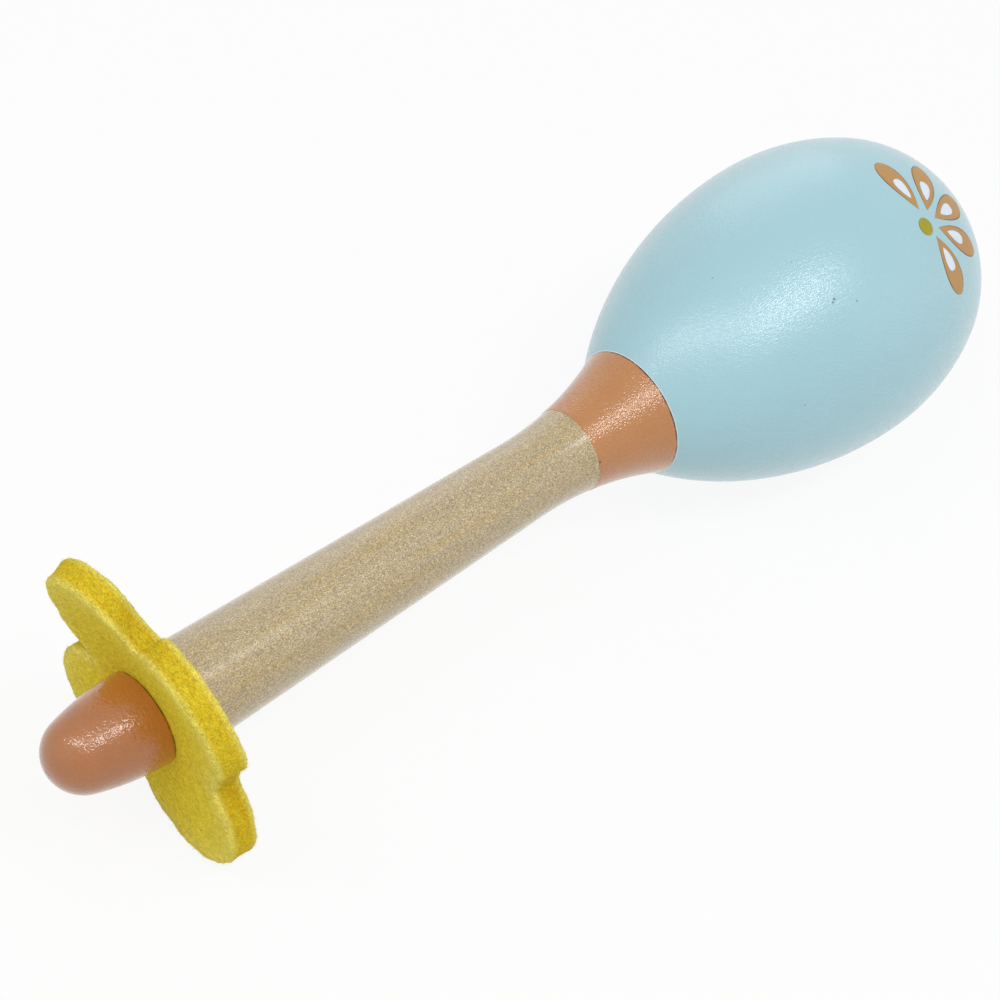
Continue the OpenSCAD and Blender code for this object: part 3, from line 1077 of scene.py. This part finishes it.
def grow_fibre(mesh, draw, felt, root, normal):
    """One curved fibre as a closed three-sided spindle that leaves the felt at a low angle. A fibre that
    would reach the floor is left out."""
    anywhere = Vector((draw.uniform(-1, 1), draw.uniform(-1, 1), draw.uniform(-1, 1)))
    lying = normal.cross(anywhere).normalized()
    size = felt.fibre_length * draw.uniform(*FIBRE_SIZES)
    lift = draw.uniform(*FIBRE_LIFTS)
    curl = normal.cross(lying) * draw.uniform(*FIBRE_CURLS)
    rooted = 0.04 * MM
    spine = []
    for share in (0, 0.3, 0.65, 1):
        bend = lying * share + curl * share ** 2 + normal * lift * math.sin(FIBRE_ARCH * share)
        spine.append(root - normal * rooted + bend * size)
    if min((TURNING @ spot).z for spot in spine) < FLOOR_GAP:
        return
    across = normal.cross(lying)
    rings = [[mesh.verts.new(spine[0])]]
    for spot in spine[1:3]:
        turns = [FULL_TURN * side / 3 for side in range(3)]
        spokes = [normal * math.cos(turn) + across * math.sin(turn) for turn in turns]
        rings.append([mesh.verts.new(spot + spoke * felt.fibre_width / 2) for spoke in spokes])
    rings.append([mesh.verts.new(spine[3])])
    skin(mesh, rings)


# Operators, one for each piece or group of like pieces

class MARACA_OT_head(bpy.types.Operator):
    """Builds the two halves of the painted head"""
    bl_idname = "maraca.head"
    bl_label = "Painted head"

    def execute(self, context):
        settings = context.scene.maraca.head
        paint = satin_blue_paint(settings)
        piece("painted_crown", crown_mesh(settings), paint, "head_crown")
        piece("painted_bowl", bowl_mesh(settings), paint, "head_bowl")
        return {"FINISHED"}


class MARACA_OT_daisy(bpy.types.Operator):
    """Paints the half daisy on the crown"""
    bl_idname = "maraca.daisy"
    bl_label = "Half daisy"

    def execute(self, context):
        head = context.scene.maraca.head
        daisy = context.scene.maraca.daisy
        names = ("daisy_petals", "daisy_drops", "daisy_heart")
        paints = (daisy.petal_paint, daisy.drop_paint, daisy.heart_paint)
        edges = (0.3, 0.5, 0.4)
        layers = (1, 2, 1)
        for name, paint, edge, layer, leaves in zip(names, paints, edges, layers, daisy_leaves(daisy)):
            mesh = bmesh.new()

            def place(across, onward, lift, under=(layer - 1) * daisy.film):
                return skin_place(head, daisy, across, onward, lift + under)

            for leaf in leaves:
                paint_leaf(mesh, leaf, place, daisy.film)
            piece(name, mesh, ornament_paint(name + "_paint", paint, edge))
        return {"FINISHED"}


class MARACA_OT_neck(bpy.types.Operator):
    """Builds the painted neck"""
    bl_idname = "maraca.neck"
    bl_label = "Painted neck"

    def execute(self, context):
        settings = context.scene.maraca
        # Painted shade: the neck's paint is darkened along its joint with the head
        paint = gloss_coral_paint(
            "gloss_coral_paint_on_neck", settings.neck.paint, peel_height=0.03 * MM, grain_height=0.09 * MM,
            painted_light_share=1, joint_place=HEAD_START, chips=NECK_CHIPS)
        piece("painted_neck", neck_mesh(settings.neck, settings.handle), paint, "neck_collar")
        return {"FINISHED"}


class MARACA_OT_handle(bpy.types.Operator):
    """Builds the lacquered handle"""
    bl_idname = "maraca.handle"
    bl_label = "Lacquered handle"

    def execute(self, context):
        settings = context.scene.maraca
        wood = lacquered_beech(settings.handle)
        piece("lacquered_handle", handle_mesh(settings.neck, settings.handle), wood, "handle")
        return {"FINISHED"}


class MARACA_OT_felt(bpy.types.Operator):
    """Builds the felt flower and its stray fibres"""
    bl_idname = "maraca.felt"
    bl_label = "Felt flower"

    def execute(self, context):
        settings = context.scene.maraca.felt
        flower = felt_mesh(settings)
        fibres = fibre_mesh(settings, flower)
        piece("felt_petals", flower, pressed_wool_felt(settings), "felt_flower")
        piece("felt_fibres", fibres, stray_wool(settings))
        return {"FINISHED"}


class MARACA_OT_knob(bpy.types.Operator):
    """Builds the painted end knob"""
    bl_idname = "maraca.knob"
    bl_label = "Painted knob"

    def execute(self, context):
        settings = context.scene.maraca.knob
        # Painted light and shade: the knob's paint is made paler towards the felt and dark along the joint
        # with it
        paint = gloss_coral_paint(
            "gloss_coral_paint_on_knob", settings.paint, peel_height=0.08 * MM, grain_height=0.04 * MM,
            painted_light_share=1.36, joint_place=FELT_FRONT + 0.12 * MM, chips=KNOB_PITS)
        piece("painted_knob", seat_knob(knob_mesh(settings)), paint, "end_knob")
        return {"FINISHED"}


class MARACA_OT_beads(bpy.types.Operator):
    """Finishes the loose beads in the head"""
    bl_idname = "maraca.beads"
    bl_label = "Loose beads"

    def execute(self, context):
        finish = tumbled_bead(context.scene.maraca.bead)
        for name, bead in frame["nodes"].items():
            if name.startswith("rattle_bead"):
                bead.data.materials.clear()
                bead.data.materials.append(finish)
        return {"FINISHED"}


# Each soft box: its name, which its power setting shares, its place, width, depth and spin about its own axis
SOFT_BOXES = (
    ("overhead", (0.01, -0.365, 0.80), 0.54, 0.14, 0),
    ("strip", (-0.41, 0.06, 0.80), 0.62, 0.08, math.radians(33)),
    ("front", (-0.85, 0.22, 0.48), 1.2, 0.9, 0),
    ("right", (0.75, -0.80, 0.35), 0.9, 0.7, 0),
    ("rear", (0.48, 0.62, 0.36), 0.5, 0.5, 0))


class MARACA_OT_stage(bpy.types.Operator):
    """Sets up the floor, the soft boxes, the white surround and the camera"""
    bl_idname = "maraca.stage"
    bl_label = "Stage"

    def execute(self, context):
        settings = context.scene.maraca.stage
        lay_floor(context.scene, settings)
        for name, place, width, depth, spin in SOFT_BOXES:
            soft_box(context.scene, name + "_soft_box", getattr(settings, name), place, width, depth, spin)
        white_surround(context.scene, settings)
        place_camera(context.scene, settings)
        context.scene.view_settings.view_transform = "Standard"
        return {"FINISHED"}


def lay_floor(scene, settings):
    """A wide matt board under the maraca."""
    mesh = bmesh.new()
    reach = 2
    bmesh.ops.create_grid(mesh, x_segments=8, y_segments=8, size=reach)
    data = bpy.data.meshes.new("floor")
    mesh.to_mesh(data)
    mesh.free()
    data.materials.append(matt_floor(settings))
    floor = bpy.data.objects.new("floor", data)
    scene.collection.objects.link(floor)


def soft_box(scene, name, watts, place, width, depth, spin):
    """A rectangular soft box that faces the maraca, spun about its own axis."""
    lamp = bpy.data.lights.new(name, "AREA")
    lamp.shape = "RECTANGLE"
    lamp.size = width
    lamp.size_y = depth
    lamp.energy = watts
    box = bpy.data.objects.new(name, lamp)
    box.location = place
    facing = (-Vector(place)).to_track_quat("-Z", "Y")
    box.rotation_euler = (facing @ Quaternion((0, 0, 1), spin)).to_euler()
    scene.collection.objects.link(box)


def white_surround(scene, settings):
    """A white surround: full white where it is seen, softer where it lights the maraca."""
    world = bpy.data.worlds.new("white_surround")
    scene.world = world
    world.use_nodes = True
    tree = world.node_tree
    tree.nodes.clear()
    strength = add(tree, "MapRange", {"Value": surround_share(tree), "To Min": settings.sky, "To Max": 1})
    sky = add(tree, "Background", {"Color": (1, 1, 1, 1), "Strength": strength})
    add(tree, "OutputWorld", {"Surface": sky})


def place_camera(scene, settings):
    """The camera at the photograph's angle."""
    look = Vector((
        math.cos(settings.elevation) * math.cos(settings.heading),
        math.cos(settings.elevation) * math.sin(settings.heading),
        -math.sin(settings.elevation)))
    data = bpy.data.cameras.new("camera")
    data.sensor_width = 36
    data.lens = settings.lens
    camera = bpy.data.objects.new("camera", data)
    camera.location = Vector(settings.aim) - look * settings.distance
    turn = look.to_track_quat("-Z", "Y") @ Quaternion((0, 0, 1), settings.roll)
    camera.rotation_euler = turn.to_euler()
    scene.collection.objects.link(camera)
    scene.camera = camera


class MARACA_PT_pieces(bpy.types.Panel):
    """Lists the maraca's pieces with their sizes and colours"""
    bl_idname = "MARACA_PT_pieces"
    bl_label = "Wooden maraca"
    bl_space_type = "VIEW_3D"
    bl_region_type = "UI"
    bl_category = "Maraca"

    def draw(self, context):
        for operator in OPERATORS:
            self.layout.operator(operator.bl_idname)
        for group in MaracaSettings.__annotations__:
            settings = getattr(context.scene.maraca, group)
            box = self.layout.box()
            box.label(text=group.capitalize())
            for name in settings.__annotations__:
                box.prop(settings, name)


SETTINGS = (
    HeadSettings, DaisySettings, NeckSettings, HandleSettings, FeltSettings, KnobSettings, BeadSettings,
    StageSettings, MaracaSettings)
OPERATORS = (
    MARACA_OT_head, MARACA_OT_daisy, MARACA_OT_neck, MARACA_OT_handle, MARACA_OT_felt, MARACA_OT_knob,
    MARACA_OT_beads, MARACA_OT_stage)
CLASSES = (*SETTINGS, *OPERATORS, MARACA_PT_pieces)


def register():
    for kind in CLASSES:
        bpy.utils.register_class(kind)
    bpy.types.Scene.maraca = PointerProperty(type=MaracaSettings)


def unregister():
    del bpy.types.Scene.maraca
    for kind in reversed(CLASSES):
        bpy.utils.unregister_class(kind)


def main():
    """Builds every piece and the stage."""
    register()
    bpy.ops.maraca.head()
    bpy.ops.maraca.daisy()
    bpy.ops.maraca.neck()
    bpy.ops.maraca.handle()
    bpy.ops.maraca.felt()
    bpy.ops.maraca.knob()
    bpy.ops.maraca.beads()
    bpy.ops.maraca.stage()


if __name__ == "__main__":
    main()
